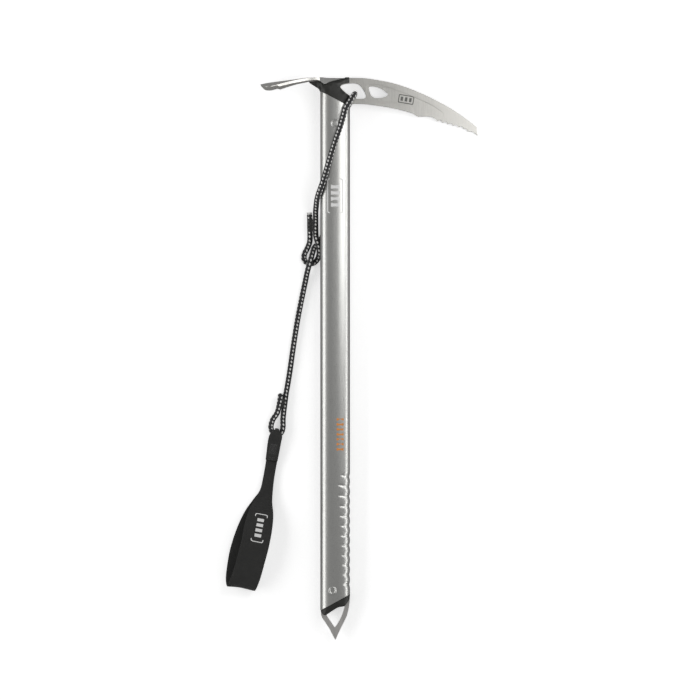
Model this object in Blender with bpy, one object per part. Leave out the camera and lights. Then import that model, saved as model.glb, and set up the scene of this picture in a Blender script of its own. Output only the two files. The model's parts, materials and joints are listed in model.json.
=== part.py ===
"""Ice axe with a wrist leash, lying on a table: steel head, aluminium shaft, spike, cord and strap.

Every piece is drawn in the axe's own frame, in millimetres: u across the shaft towards the pick, v up the
shaft from the spike's tip, w out of the axe's plane. One empty turns that frame so that the axe lies on its
adze corner, pick and lower rivet, with z = 0 on the table and the origin under the middle of the axe.
"""

from math import ceil, cos, pi, sin

import bmesh
import bpy
from mathutils import Matrix, Vector
from mathutils.geometry import delaunay_2d_cdt

MM = 0.001
GAP = 0.3

# Shaft: oval tube
SHAFT_A, SHAFT_B, SHAFT_POWER = 15.85, 10.0, 2.4
SHAFT_WALL = 1.6
TOP_CUT_V, TOP_CUT_SLOPE = 576.8, -0.54
LOW_CUT_V, LOW_CUT_SLOPE = 40.5, 0.5475
SHAFT_SIDES = 44
NOTCH_COUNT, NOTCH_FIRST_V, NOTCH_PITCH, NOTCH_DEPTH = 12, 59.2, 10.45, 0.95

# Head, spike and rivets
PICK_HALF, POCKET_DEPTH = 2.25, 0.75
TANG_HALF_U, TANG_END_V = 9.0, 505.0
SPIKE_HALF, SPIKE_TANG_HALF_U, SPIKE_TANG_END_V = 2.0, 9.0, 92.0
SCOOP_RADIUS = 70.0
HEAD_RIVET_UV, SPIKE_RIVET_UV = (-0.3, 550.7), (-2.6, 53.1)
RIVET_SHANK, RIVET_HOLE = 3.0, 3.3

# Leash
CORD_D = 6.0
CORD_SIDES_RES = 3
WEB_T = 1.8
BAND_T = 1.6


def top_cut(u):
    return TOP_CUT_V + TOP_CUT_SLOPE * u


def low_cut(u):
    return LOW_CUT_V + LOW_CUT_SLOPE * u


# ---------------------------------------------------------------- curves and outlines


def between(table, x):
    """Value at x on the broken line through (x, value) pairs, held at both ends."""
    if x <= table[0][0]:
        return table[0][1]
    for (x0, y0), (x1, y1) in zip(table, table[1:]):
        if x <= x1:
            return y0 + (y1 - y0) * (x - x0) / (x1 - x0)
    return table[-1][1]


def spline(points, per=4, closed=False):
    """Catmull-Rom curve through the points, with per steps from each point to the next."""
    pts = [Vector(p) for p in points]
    n = len(pts)
    if closed:
        spans, at = n, lambda i: pts[i % n]
    else:
        ends = (pts[0] * 2 - pts[1], pts[-1] * 2 - pts[-2])
        spans, at = n - 1, lambda i: ends[0] if i < 0 else ends[1] if i >= n else pts[i]
    out = []
    for i in range(spans):
        a, b, c, d = (at(i + k) for k in (-1, 0, 1, 2))
        for k in range(per):
            t = k / per
            cubic = (b * 3 - a - c * 3 + d) * t**3
            out.append(0.5 * (b * 2 + (c - a) * t + (a * 2 - b * 5 + c * 4 - d) * t**2 + cubic))
    if not closed:
        out.append(pts[-1])
    return out


def oval(a, b, sides, power=SHAFT_POWER):
    """Points of a flattened oval, counter-clockwise in (u, w)."""
    out = []
    for k in range(sides):
        c, s = cos(2 * pi * k / sides), sin(2 * pi * k / sides)
        u = a * abs(c) ** (2 / power)
        w = b * abs(s) ** (2 / power)
        out.append((u if c > 0 else -u, w if s > 0 else -w))
    return out


def oval_w(u, a=SHAFT_A, b=SHAFT_B):
    """Half depth of the oval at u."""
    x = min(abs(u) / a, 1.0)
    return b * (1 - x**SHAFT_POWER) ** (1 / SHAFT_POWER)


def inside(point, loop):
    x, y = point
    hit = False
    for (x0, y0), (x1, y1) in zip(loop, loop[1:] + loop[:1]):
        if (y0 > y) != (y1 > y) and x < x0 + (x1 - x0) * (y - y0) / (y1 - y0):
            hit = not hit
    return hit


def edge_distance(point, loop):
    p = Vector(point)
    best = 1e9
    for a, b in zip(loop, loop[1:] + loop[:1]):
        a, b = Vector(a), Vector(b)
        d = b - a
        t = max(0.0, min(1.0, (p - a).dot(d) / max(d.length_squared, 1e-12)))
        best = min(best, (a + d * t - p).length)
    return best


# ---------------------------------------------------------------- solids


def material(name, color, rough, metal):
    mat = bpy.data.materials.new(name)
    mat.use_nodes = True
    shader = mat.node_tree.nodes["Principled BSDF"]
    shader.inputs["Base Color"].default_value = (*color, 1)
    shader.inputs["Roughness"].default_value = rough
    shader.inputs["Metallic"].default_value = metal
    mat.diffuse_color = (*color, 1)
    return mat


def add(name, verts, faces, look=None, parent=None):
    """Mesh object in the axe's frame, from millimetres. Without a look it is a cutter."""
    mesh = bpy.data.meshes.new(name)
    origin = parent.location if parent else Vector()
    mesh.from_pydata([Vector(v) * MM - origin for v in verts], [], faces)
    bm = bmesh.new()
    bm.from_mesh(mesh)
    bmesh.ops.recalc_face_normals(bm, faces=bm.faces)
    bm.to_mesh(mesh)
    bm.free()
    ob = bpy.data.objects.new(name, mesh)
    bpy.context.collection.objects.link(ob)
    ob.parent = parent or rest
    if look is None:
        ob.hide_render = True
        ob.display_type = "WIRE"
    else:
        mesh.materials.append(material(name, *look))
    return ob


def boolean(ob, other, operation="DIFFERENCE"):
    mod = ob.modifiers.new(other.name, "BOOLEAN")
    mod.operation, mod.object, mod.solver = operation, other, "EXACT"


def in_uv(a, b, h):
    return (a, b, h)


def in_uw(a, b, h):
    return (a, h, b)


def sheet_mesh(outline, holes, spacing, upper, lower, place, extra=()):
    """Closed body over a flat outline: upper and lower give its height, place maps it to (u, v, w)."""
    loops = [[tuple(p) for p in loop] for loop in [outline, *holes]]
    pts, edges = [], []
    for loop in loops:
        first = len(pts)
        pts += loop
        edges += [(first + i, first + (i + 1) % len(loop)) for i in range(len(loop))]
    solid_at = lambda p: inside(p, loops[0]) and not any(inside(p, h) for h in loops[1:])
    if spacing:
        xs, ys = zip(*loops[0])
        for i in range(ceil((max(xs) - min(xs)) / spacing)):
            for j in range(ceil((max(ys) - min(ys)) / spacing)):
                p = (min(xs) + (i + 0.5 + 0.25 * (j % 2)) * spacing, min(ys) + (j + 0.5) * spacing)
                if solid_at(p) and min(edge_distance(p, loop) for loop in loops) > 0.5 * spacing:
                    pts.append(p)
    pts += extra
    flat, _, tris, _, _, _ = delaunay_2d_cdt([Vector(p) for p in pts], edges, [], 0, 1e-6)
    flat = [tuple(p) for p in flat]
    tris = [t for t in tris if solid_at(tuple(sum(flat[i][k] for i in t) / 3 for k in (0, 1)))]
    n = len(flat)
    verts = [place(x, y, upper(x, y)) for x, y in flat] + [place(x, y, lower(x, y)) for x, y in flat]
    faces = [tuple(t) for t in tris] + [tuple(i + n for i in reversed(t)) for t in tris]
    used = {}
    for t in tris:
        for a, b in zip(t, [*t[1:], t[0]]):
            used[(a, b)] = used.get((a, b), 0) + 1
    faces += [(b, a, a + n, b + n) for a, b in used if (b, a) not in used]
    kept = sorted({i for f in faces for i in f})
    index = {old: new for new, old in enumerate(kept)}
    return [verts[i] for i in kept], [tuple(index[i] for i in f) for f in faces]


def plate(name, outline, holes, low, high, look=None):
    """Flat plate in the axe's plane, from w = low to w = high."""
    return add(name, *sheet_mesh(outline, holes, None, lambda x, y: high, lambda x, y: low, in_uv), look)


def rings_mesh(rings):
    """Body through rings of points, with both ends capped."""
    n = len(rings[0])
    verts = [p for ring in rings for p in ring]
    faces = [
        (j * n + i, j * n + (i + 1) % n, (j + 1) * n + (i + 1) % n, (j + 1) * n + i)
        for j in range(len(rings) - 1)
        for i in range(n)
    ]
    last = (len(rings) - 1) * n
    return verts, [*faces, tuple(reversed(range(n))), tuple(range(last, last + n))]


def circle(uv, radius, sides):
    turns = [2 * pi * k / sides for k in range(sides)]
    return [(uv[0] + radius * cos(t), uv[1] + radius * sin(t)) for t in turns]


def rod(name, uv, radius, low, high, look=None, sides=24):
    """Round rod along w."""
    ring = circle(uv, radius, sides)
    return add(name, *rings_mesh([[(*p, w) for p in ring] for w in (low, high)]), look)


def rivet(name, uv, look, sides=24):
    """Rivet with a rolled, dished head on each side of the shaft."""
    side = [(0.9, 9.3), (1.9, 9.5), (2.5, 10.5), (3.3, 11.0), (4.1, 10.75), (4.4, 10.15),
            (RIVET_SHANK, 10.1)]
    profile = side + [(r, -w) for r, w in reversed(side)]
    return add(name, *rings_mesh([[(*p, w) for p in circle(uv, r, sides)] for r, w in profile]), look)


# ---------------------------------------------------------------- the axe's frame and its rest pose


def rest_matrix(groups, guess):
    """Turns the axe's frame so that the lowest point of each group of vertices is on the table."""
    normal = Vector(guess).normalized()
    for _ in range(30):
        a, b, c = (min(group, key=normal.dot) for group in groups)
        normal = (b - a).cross(c - a).normalized()
        if normal.z < 0:
            normal.negate()
    up = Vector((0, 1, 0))
    y = (up - normal * up.dot(normal)).normalized()
    return Matrix((y.cross(normal), y, normal)), normal.dot(a)


# ================================================================ build

for old in list(bpy.data.objects):
    bpy.data.objects.remove(old)

rest = bpy.data.objects.new("rest", None)
bpy.context.collection.objects.link(rest)

STEEL = ((0.56, 0.55, 0.52), 0.36, 1.0)
ALUMINIUM = ((0.62, 0.62, 0.60), 0.34, 1.0)
BLACK = ((0.02, 0.02, 0.019), 0.55, 0.0)
SHIM = ((0.06, 0.06, 0.06), 0.6, 0.0)
THREAD = ((0.03, 0.03, 0.03), 0.8, 0.0)
CORD = ((0.025, 0.025, 0.027), 0.85, 0.0)
WEBBING = ((0.022, 0.022, 0.021), 0.8, 0.0)

# ---------------------------------------------------------------- shaft


def notch(v):
    """Depth of the finger notches at v, nought between them."""
    i = round((v - NOTCH_FIRST_V) / NOTCH_PITCH)
    if not 0 <= i < NOTCH_COUNT:
        return 0.0
    x = abs(v - NOTCH_FIRST_V - i * NOTCH_PITCH) / (NOTCH_PITCH / 2)
    return NOTCH_DEPTH * max(0.0, 0.5 + 0.5 * cos(pi * min(1.0, x / 0.8)))


def shaft_ring(v):
    ring = []
    for u, w in oval(SHAFT_A, SHAFT_B, SHAFT_SIDES):
        if u > 0:
            u *= 1 - notch(v) / SHAFT_A
        ring.append((u, v, w))
    return ring


def slanted(ring, cut):
    return [(u, cut(u), w) for u, _, w in ring]


def shaft_mesh():
    last = NOTCH_FIRST_V + (NOTCH_COUNT - 1) * NOTCH_PITCH
    marks = []
    for i in range(NOTCH_COUNT):
        v = NOTCH_FIRST_V + i * NOTCH_PITCH
        marks += [v + k * NOTCH_PITCH / 2 for k in (-0.4, 0, 0.4, 0.9)]
    marks = [m for m in marks if m > low_cut(SHAFT_A) + 1]
    marks += [last + 60, last + 200, top_cut(SHAFT_A) - 3]
    outer = [slanted(shaft_ring(0), low_cut), *(shaft_ring(m) for m in marks),
             slanted(shaft_ring(0), top_cut)]
    bore = oval(SHAFT_A - SHAFT_WALL, SHAFT_B - SHAFT_WALL, SHAFT_SIDES)
    inner = [[(u, cut(u), w) for u, w in bore] for cut in (top_cut, low_cut)]
    rings = outer + inner
    n, m = SHAFT_SIDES, len(rings)
    verts = [p for ring in rings for p in ring]
    faces = [
        (j * n + i, j * n + (i + 1) % n, (j + 1) % m * n + (i + 1) % n, (j + 1) % m * n + i)
        for j in range(m)
        for i in range(n)
    ]
    return verts, faces


shaft = add("shaft", *shaft_mesh(), ALUMINIUM)
for label, uv in (("head", HEAD_RIVET_UV), ("spike", SPIKE_RIVET_UV)):
    boolean(shaft, rod(f"{label}_rivet_bore", uv, RIVET_HOLE, -14, 14))

# ---------------------------------------------------------------- pick, with the head plate and its tang

HEAD_TOP = spline([(11.2, 599.3), (16.5, 599.6), (24, 599.5), (34, 599.1), (48, 596.8), (62, 594),
                   (78, 589),
                   (96, 581.5), (112, 573.6), (127, 565), (141.5, 555), (152, 546.8)], 3)
PICK_NOSE = [(153, 537.6), (148, 541.6), (145.2, 542.1), (142.4, 542), (140.6, 545.2)]
TEETH = 6
tooth_tops = [(140.2 - 5.6 * i, 545.4 + 1.6 * i) for i in range(TEETH)]
TEETH_LINE = [q for u, v in tooth_tops
              for q in ((u - 2.6, v - 0.4), (u - 3.6, v + 1.9), (u - 5.2, v + 2.4))][:-1]
PICK_BELLY = [(106.5, 556.6), (103, 558), (98, 558.4), (93.5, 558), (89.5, 557.9), (87, 559.3),
              (84.5, 561.3)]
HEAD_LOW = spline([(78, 563.4), (66, 566.4), (55, 568.6), (45, 570.1), (34, 571.5), (24, 571.9),
                   (19.5, 571.7),
                   (17.3, 570.3), (16.4, 568.4)], 3)
TANG = [(SHAFT_A + 0.45, 568.3), (15.3, 569.4), (TANG_HALF_U, 571), (TANG_HALF_U, TANG_END_V + 4),
        (TANG_HALF_U - 4, TANG_END_V), (4 - TANG_HALF_U, TANG_END_V), (-TANG_HALF_U, TANG_END_V + 4),
        (-TANG_HALF_U, 583), (-13, 585.5), (-13, 590.4)]
CROWN_LOW = [(-17.0, 597.2), (-14, 594.6), (-10.5, 591.8), (-6, 594), (-2.3, 595.6), (3.7, 597),
             (11.2, 598.9)]
UNDER_CROWN = [(-10.5, 591.4), (-6, 593.6), (-2.3, 595.2), (3.7, 596.6), (10.9, 598.4)]
head_outline = [*HEAD_TOP, *PICK_NOSE, *TEETH_LINE, *PICK_BELLY, *HEAD_LOW, *TANG, *UNDER_CROWN]

HOLE_1 = spline([(6.8, 590), (8.6, 592.2), (14, 593.4), (19.5, 593.9), (24, 593.4), (27, 591.8), (30, 588),
                 (32.3, 584), (33.6, 579.8), (31.8, 577.5), (25, 577.3), (20, 578.8), (14.6, 582),
                 (10.5, 585.6),
                 (7.6, 588.3)], 2, closed=True)
HOLE_2 = spline([(36.8, 588.8), (38.4, 590.3), (42, 590.3), (47, 589.2), (51.5, 587), (55, 584.2),
                 (57.3, 581.9),
                 (54.8, 579.6), (49.2, 578.2), (43.8, 578.2), (40.4, 579.8), (38.3, 583.4)], 2, closed=True)
POCKET = [
    *spline([(37, 593), (48, 592.2), (63, 587.6), (78, 581.9), (93, 575.6), (104.5, 569.9), (113, 564.5),
             (116, 561.4), (116.4, 558.2)], 3),
    (110, 548), (84.5, 548), (84, 567),
    *spline([(81.5, 569), (72, 571), (62.8, 572.7), (48, 575), (41, 576.2), (37, 579), (34.8, 585),
             (35, 590)], 3),
]

pick = plate("pick", head_outline, [HOLE_1, HOLE_2], -PICK_HALF, PICK_HALF, STEEL)
for side in (-1, 1):
    low, high = sorted((side * (PICK_HALF - POCKET_DEPTH), side * (PICK_HALF + 3)))
    boolean(pick, plate(f"pick_pocket_{'back' if side < 0 else 'front'}", POCKET, [], low, high))
boolean(pick, rod("pick_rivet_bore", HEAD_RIVET_UV, RIVET_HOLE, -6, 6))

# ---------------------------------------------------------------- adze, with the crown that covers the head

RIDGE = [(-78.7, 592.7), (-71, 594.4), (-61, 595.7), (-48, 597.3), (-38, 598.6), (-28, 599.8), (-16, 599.9),
         (-8, 599.4), (4, 599.3), (11, 599.4)]
ADZE_EDGE = spline([(10.9, 2.3), (4, 3.2), (-4, 5.2), (-11, 8.2), (-18, 10.6), (-28, 11.8), (-38, 14.6),
                    (-48, 19.2), (-58, 24.6), (-65, 27.8), (-70, 28.2), (-74, 25.4), (-76.6, 18),
                    (-78.2, 9),
                    (-78.7, 0)], 3)
adze_outline = [tuple(p) for p in ADZE_EDGE] + [(p.x, -p.y) for p in reversed(ADZE_EDGE[:-1])]


def adze_top(u, w):
    return between(RIDGE, u) - w * w / (2 * SCOOP_RADIUS) * between([(-30, 1.0), (-14, 0.0)], u)


def adze_under(u, w):
    if u > -17.5:
        return between(CROWN_LOW, u) + GAP
    sharp = min(1.0, edge_distance((u, w), adze_outline) / 7) if u < -60 else 1.0
    return adze_top(u, w) - (0.7 + 2.1 * sharp)


CROWN_HALF = [(-16.9, 10), (-14, 9), (-10.5, 7.5), (-6, 5.5), (-2.3, 4.2), (3.7, 2.8)]
crown_rows = [(u, w) for u, half in CROWN_HALF
              for w in (-0.9 * half, 0, 0.9 * half)]
adze = add("adze", *sheet_mesh(adze_outline, [], 4.0, adze_top, adze_under, in_uw, crown_rows), STEEL)

# ---------------------------------------------------------------- head cover and the shims round the tang

COVER_TOP = [(-26.6, 595.4), (-18.5, 596.0), (-17.0, 596.4), *CROWN_LOW[1:], (11.3, 600.1), (16.2, 600.2)]
COVER_HOLE = spline([(16.2, 594.1), (14, 593.9), (8.3, 592.7), (6.3, 589.8), (7.4, 587.8), (10.9, 584.3),
                     (16.2, 580.5)], 3)
COVER_LOW = [(16.2, 570.8), (15.6, top_cut(15.6) + GAP), (10, top_cut(10) + GAP), (5, top_cut(5) + GAP),
             (0, top_cut(0) + GAP), (-5, top_cut(-5) + GAP), (-10, top_cut(-10) + GAP),
             (-15.2, top_cut(-15.2) + GAP), (-16.6, 588), (-25.6, 593.8), (-27.0, 595.0)]
cover_outline = [tuple(p) for p in [*COVER_TOP, *COVER_HOLE, *COVER_LOW]]


def cover_half(u, v):
    """Half depth of the cover: the shaft's oval at its foot, slimmer towards its two arms."""
    rise = max(0.0, min(1.0, (v - top_cut(u)) / 24))
    foot = oval_w(u * 0.93)
    arm = between([(-27, 7.5), (-16, 8.0), (-8, 7.6), (4, 6.0), (16, 4.2)], u)
    edge = min(1.0, edge_distance((u, v), cover_outline) / 2.2 + 0.45 + 0.55 * (rise < 0.06))
    return max(PICK_HALF + 1.1, (foot * (1 - rise) + arm * rise) * (0.8 + 0.2 * edge))


cover = add("head_cover",
            *sheet_mesh(cover_outline, [], 3.0, cover_half, lambda u, v: -cover_half(u, v), in_uv),
            BLACK)
SLOT = [(-13.3, 560), (-13.3, 606), (11.05, 606), (11.05, 599.9), (24, 599.9), (24, 560)]
boolean(cover, plate("cover_slot", SLOT, [], -PICK_HALF - GAP, PICK_HALF + GAP))

bore_a, bore_b = SHAFT_A - SHAFT_WALL - GAP, SHAFT_B - SHAFT_WALL - GAP
face = PICK_HALF + GAP
corner = oval_w(face, bore_b, bore_a)
for label, side in (("front", 1), ("back", -1)):
    half = [(corner, face), *(p for p in oval(bore_a, bore_b, SHAFT_SIDES) if p[1] > face + 0.2),
            (-corner, face)]
    lines = [[(u, cut(u), side * w) for u, w in half]
             for cut in (lambda u: 512.0, lambda u: top_cut(u) - 0.6)]
    shim = add(f"tang_shim_{label}", *rings_mesh(lines), SHIM)
    boolean(shim, rod(f"shim_rivet_bore_{label}", HEAD_RIVET_UV, RIVET_HOLE, -14, 14))

rivet("head_rivet", HEAD_RIVET_UV, STEEL)

# ---------------------------------------------------------------- spike and its plug

SPIKE_LEFT = [(-SPIKE_TANG_HALF_U, SPIKE_TANG_END_V), (-SPIKE_TANG_HALF_U, 42), (-13.2, 34), (-15.2, 29.4),
              (-15.3, 27), (-14.1, 23.8), (-6.5, 12.4), (-0.8, 1.2), (0.2, 0)]
SPIKE_RIGHT = [(3.4, 7.5), (7.8, 16.5), (12.3, 25.5), (14.2, 33), (15.2, 39.5), (15.5, 44.5), (13.2, 47),
               (SPIKE_TANG_HALF_U, 51), (SPIKE_TANG_HALF_U, SPIKE_TANG_END_V)]
SPIKE_OPENING = [(-9.3, 26), (-0.6, 13.2), (1.9, 16.5), (4.6, 21), (6.9, 25.8), (8.7, 31), (9.9, 35.3),
                 (9.4, 37.8),
                 (3.8, 37.2), (-0.3, 35), (-4.7, 32.2), (-9, 28.8)]
spike = plate("spike", [*SPIKE_LEFT, *SPIKE_RIGHT], [SPIKE_OPENING], -SPIKE_HALF, SPIKE_HALF, STEEL)
boolean(spike, rod("spike_rivet_bore_tang", SPIKE_RIVET_UV, RIVET_HOLE, -6, 6))

PLUG_LOW = spline([(-15.6, low_cut(-15.6) - GAP - 0.2), (-14.6, 28.7), (-10.5, 26.8), (-4.7, 30.4),
                   (-0.3, 33.2),
                   (3.8, 35.3), (9.1, 36.1), (10.6, 37.2), (13.2, 40.5), (15.2, 44.3),
                   (15.75, low_cut(15.7) - GAP)], 3)
plug_outline = [tuple(p) for p in PLUG_LOW] + [(u, low_cut(u) - GAP) for u in (12, 8, 4, 0, -4, -8, -12)]


def plug_half(u, v):
    """Half depth of the plug: the shaft's oval, rounded off towards its lower edge."""
    drop = max(0.0, (low_cut(u) - v) / 14)
    return max(SPIKE_HALF + 1.2, oval_w(u * 0.97) * (1 - 0.35 * min(1.0, drop) ** 2))


plug = add("spike_plug",
           *sheet_mesh(plug_outline, [], 3.0, plug_half, lambda u, v: -plug_half(u, v), in_uv), BLACK)
core = [[(u, cut(u), w) for u, w in oval(bore_a, bore_b, SHAFT_SIDES)]
        for cut in (lambda u: low_cut(u) - 1.5, lambda u: 84.0)]
boolean(plug, add("plug_core", *rings_mesh(core)), "UNION")
PLUG_SLOT = [(-9.3, 130), (-9.3, 42.3), (-13.5, 34.3), (-15.9, 29.6), (-15.9, 20), (15.9, 20), (15.9, 45),
             (13.4, 47.3), (9.3, 51.3), (9.3, 130)]
boolean(plug, plate("plug_slot", PLUG_SLOT, [], -SPIKE_HALF - GAP, SPIKE_HALF + GAP))
boolean(plug, rod("plug_rivet_bore", SPIKE_RIVET_UV, RIVET_HOLE, -14, 14))

spike_rivet = rivet("spike_rivet", SPIKE_RIVET_UV, STEEL)

# ---------------------------------------------------------------- the rest pose


def points_of(*obs):
    return [v.co / MM for ob in obs for v in ob.data.vertices]


rests_on = (points_of(adze), points_of(pick), points_of(shaft, spike_rivet))
turn, low = rest_matrix(rests_on, (-0.114, 0.018, 1))
placed = [turn @ p for p in points_of(shaft, pick, adze, cover, spike, plug)]
mid = [(min(p[k] for p in placed) + max(p[k] for p in placed)) / 2 for k in (0, 1)]
rest.matrix_world = Matrix.Translation(Vector((-mid[0], -mid[1], -low)) * MM) @ turn.to_4x4()
normal = turn[2]


def above(u, v, h):
    """The point over (u, v) that is h above the table."""
    return Vector((u, v, (low + h - normal.x * u - normal.y * v) / normal.z))


# ---------------------------------------------------------------- leash cord


def cord_on_oval():
    """(|u|, w) of a cord's centre lying on the shaft."""
    reach = CORD_D / 2 + 2 * GAP
    table = []
    for a, b, c in zip(*[[oval(SHAFT_A, SHAFT_B, 200)[i + k] for i in range(50)] for k in (0, 1, 2)]):
        out = Vector((c[1] - a[1], a[0] - c[0])).normalized() * reach
        table.append((b[0] + out.x, b[1] + out.y))
    return sorted([*table, (0.0, SHAFT_B + reach)])


ON_OVAL = cord_on_oval()


def on_shaft(u, v, side=1):
    return Vector((u, v, side * between(ON_OVAL, abs(u))))


STUB = [(-27.6, 455, 8.0), (-27.2, 450, 7.3), (-27.1, 440, 6.8), (-26.9, 430.5, 6.4)]
UPPER_EYE = [(-27.4, 424.6, 4.3), (-29.9, 418.2, 3.3), (-33.0, 412.2, 3.3), (-33.4, 406.6, 3.3),
             (-30.2, 402.8, 3.3), (-25, 402.0, 3.3), (-20.4, 404.6, 3.7), (-17.6, 410, 5.8),
             (-17.0, 416, 8.7),
             (-17.9, 422.3, 10.2), (-19.6, 427, 9.7), (-20.7, 431.5, 8.3)]
RISE = [(-21.0, 440, 8.1), (-21.0, 450, 8.8), (-20.9, 457, 12.4), (-20.2, 463.5, 17.2),
        (-19.3, 469.8, 22.6)]
FRONT = [(-17.4, 476.5), (-14.4, 484.5), (-11.6, 492.8), (-5.5, 513.6), (-0.4, 530.2), (5.5, 546.8),
         (8.6, 557.5),
         (10.9, 566)]
HEAD_TURN = [(14.6, 572.2, 10.5), (17.8, 577.6, 8.0), (20.2, 581.3, 4.7), (21.0, 582.7, 0),
             (20.2, 581.3, -4.7),
             (17.8, 577.6, -8.0), (15.0, 572.2, -10.6)]
BACK = [(11.5, 566), (5, 545), (-0.5, 515), (-4.5, 485), (-7, 462)]
NOOSE = [(-10, 444, 3.9), (-13.6, 431, 3.3), (-17.8, 423.2, 3.3), (-22.2, 419.2, 4.2), (-24.3, 412.8, 7.6),
         (-26.2, 405.8, 9.9), (-28.2, 399.3, 9.3), (-30, 392.5, 6.5), (-31.8, 384, 3.8)]
MAIN = [(-33.5, 376, 3.3), (-36.9, 359.6, 3.3), (-40.5, 341, 3.3), (-44.6, 315, 3.3), (-48.4, 288, 3.3),
        (-51.0, 272, 3.4), (-52.6, 263, 4.2)]
LOWER_EYE = [(-53.4, 257, 4.8), (-55.2, 243, 4.8), (-56.0, 235, 5.2), (-56.0, 227, 5.5),
             (-57.6, 221.2, 5.5),
             (-62.0, 218.3, 5.5), (-66.8, 220.8, 5.5), (-68.9, 227, 5.5), (-66.8, 234.8, 6.0),
             (-61.7, 243, 7.1),
             (-58.9, 257, 8.3), (-58.3, 263, 8.3)]

route = [above(*p) for p in STUB + UPPER_EYE + RISE] + [on_shaft(*p) for p in FRONT]
route += [Vector(p) for p in HEAD_TURN] + [on_shaft(*p, -1) for p in BACK]
route += [above(*p) for p in NOOSE + MAIN + LOWER_EYE]


def thinned(points, angle, reach):
    """The points where a cord has turned by angle or run on by reach since the last one kept."""
    kept = [0]
    for i in range(1, len(points) - 1):
        last = kept[-1]
        here = (points[i + 1] - points[i]).angle(points[last + 1] - points[last])
        if here > angle or (points[i] - points[last]).length > reach:
            kept.append(i)
    return [points[i] for i in kept] + [points[-1]]


def cord(name, points, look):
    curve = bpy.data.curves.new(name, "CURVE")
    curve.dimensions = "3D"
    line = curve.splines.new("POLY")
    line.points.add(len(points) - 1)
    for at, p in zip(line.points, points):
        at.co = (*(p * MM), 1)
    curve.bevel_depth = CORD_D / 2 * MM
    curve.bevel_resolution = CORD_SIDES_RES
    curve.render_resolution_u = 0
    curve.use_fill_caps = True
    curve.materials.append(material(name, *look))
    ob = bpy.data.objects.new(name, curve)
    bpy.context.collection.objects.link(ob)
    ob.parent = rest
    return ob


cord("leash_cord", thinned(spline(route, 10), 0.34, 17), CORD)


def sleeve(name, start, end, side, inner, outer, look, steps=8):
    """Band of stitching round two cords that lie side by side."""
    along = (end - start).normalized()
    across = side - along * side.dot(along)
    up = along.cross(across).normalized()
    rings = []
    for centre, r in ((start, outer), (end, outer), (end, inner), (start, inner)):
        ring = []
        for half in (1, -1):
            for k in range(steps + 1):
                t = pi * k / steps - half * pi / 2
                ring.append(centre + across * (half / 2) + (across.normalized() * cos(t) + up * sin(t)) * r)
        rings.append(ring)
    n, m = len(rings[0]), len(rings)
    faces = [(j * n + i, j * n + (i + 1) % n, (j + 1) % m * n + (i + 1) % n, (j + 1) % m * n + i)
             for j in range(m) for i in range(n)]
    return add(name, [p for ring in rings for p in ring], faces, look)


sleeve("upper_stitching", above(-24.05, 436.0, 7.4), above(-24.1, 449, 8.0), Vector((6.2, 0, 1.4)),
       3.75, 4.4, THREAD)
sleeve("lower_stitching", above(-57.6, 247.5, 6.2), above(-56.2, 256.3, 6.5), Vector((6.0, 0, -3.0)),
       4.0, 4.55, THREAD)

# ---------------------------------------------------------------- wrist strap

STRAP_LINE = Vector((0.975, -0.21, 0.0))
STRAP_ACROSS = (STRAP_LINE - normal * STRAP_LINE.dot(normal)).normalized()

pivot = bpy.data.objects.new("wrist_strap_pivot", None)
bpy.context.collection.objects.link(pivot)
pivot.parent = rest
pivot.location = above(-62.4, 224.2, 5.5) * MM


def ribbon(name, stations, thick, look):
    """Webbing through stations (u, v, height, width, tilt in degrees), level but for the tilt."""
    spots = [above(u, v, h) for u, v, h, _, _ in stations]
    rings = []
    for i, (_, _, _, width, tilt) in enumerate(stations):
        run = (spots[min(i + 1, len(spots) - 1)] - spots[max(i - 1, 0)]).normalized()
        level = STRAP_ACROSS * cos(tilt * pi / 180) - normal * sin(tilt * pi / 180)
        level = (level - run * level.dot(run)).normalized()
        face = run.cross(level)
        rings.append([spots[i] + level * (s * width / 2) + face * (t * thick / 2)
                      for s, t in ((1, 1), (0, 1), (-1, 1), (-1, -1), (0, -1), (1, -1))])
    return add(name, *rings_mesh(rings), look, pivot)


EYE_FOLD = [(-68.2, 191, 6.9, 13.0, 0), (-66.6, 201, 6.9, 13.8, 0), (-65.0, 211, 7.6, 14.4, 0),
            (-63.7, 217, 9.7, 13.6, 0), (-62.9, 221, 10.3, 10, 0), (-62.5, 223.3, 9.7, 5.1, 0),
            (-62.4, 224.3, 8.0, 4.1, 0), (-62.4, 224.6, 5.5, 4.1, 0), (-62.4, 224.3, 3.0, 4.1, 0),
            (-62.5, 223.3, 1.5, 5.1, 0), (-62.9, 221, 1.0, 10, 0), (-63.4, 217, 1.0, 13.4, 0),
            (-64.8, 211, 1.0, 13.6, 0), (-68.0, 191, 1.0, 12.2, 0)]
ribbon("strap_webbing", spline(EYE_FOLD, 2), WEB_T, WEBBING)

BAND = [(-65.4, 206, 3.0, 11.8, 0), (-67.7, 193, 3.0, 12, 0), (-71.4, 172, 2.6, 12, 0),
        (-74.2, 157, 2.2, 14, 2),
        (-78.4, 145, 2.9, 21, 6), (-84.0, 131, 3.8, 28, 9), (-91.4, 113, 4.1, 30, 10),
        (-98.2, 92, 4.1, 30, 10),
        (-101.9, 70, 4.6, 30, 10), (-102.1, 60, 6.0, 30, 10), (-100.7, 55.6, 10.2, 30, 10),
        (-98.6, 58.5, 14.6, 30, 10), (-94.4, 69, 16.8, 30, 10), (-89.6, 86, 18.6, 30, 10),
        (-85.4, 102, 18.8, 30, 10), (-82.2, 119, 17.0, 30, 9), (-79.4, 134, 13.2, 27, 7),
        (-76.9, 146, 9.0, 20, 4),
        (-73.8, 157, 6.2, 14, 1), (-71.3, 172, 5.0, 12, 0), (-67.7, 193, 4.9, 12, 0),
        (-65.4, 206, 4.9, 11.8, 0)]
ribbon("wrist_band", spline(BAND, 2), BAND_T, WEBBING)

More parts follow.
